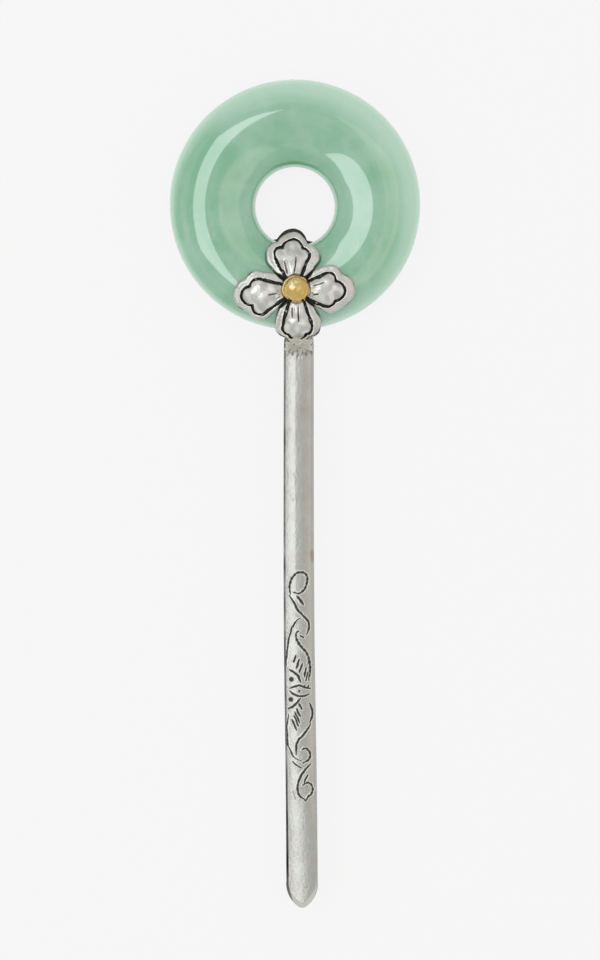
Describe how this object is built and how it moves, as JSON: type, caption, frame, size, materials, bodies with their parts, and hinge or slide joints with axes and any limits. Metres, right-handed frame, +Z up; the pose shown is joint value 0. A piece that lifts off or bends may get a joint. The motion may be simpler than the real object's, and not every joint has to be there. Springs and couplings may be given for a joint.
{
  "type": "hair pin",
  "caption": "Decorative hair pin: a jade ring clasped between two silver four-petal flowers under a gold bead, on a flat engraved silver shank with a blunt point.",
  "frame": {"origin": "on the surface that the pin lies on, under the middle of its bounding box", "axes": "+Y along the shank from its point to the ring, +Z up out of the ring's front, +X across to the right as seen from the front"},
  "size_m": [0.035, 0.1154, 0.0119],
  "materials": {
    "jade": "polished cloudy green jade",
    "silver": "satin silver, darkened in its grooves",
    "gold": "polished gilding, a little worn",
    "solder": "dull, pitted silver solder"
  },
  "bodies": {
    "root": {"jade_ring": "jade", "front_flower": "silver", "back_flower": "silver", "rivet": "silver", "bead_collar": "gold", "gold_bead": "gold", "shank": "silver", "front_solder": "solder", "back_solder": "solder"}
  },
  "joints": []
}
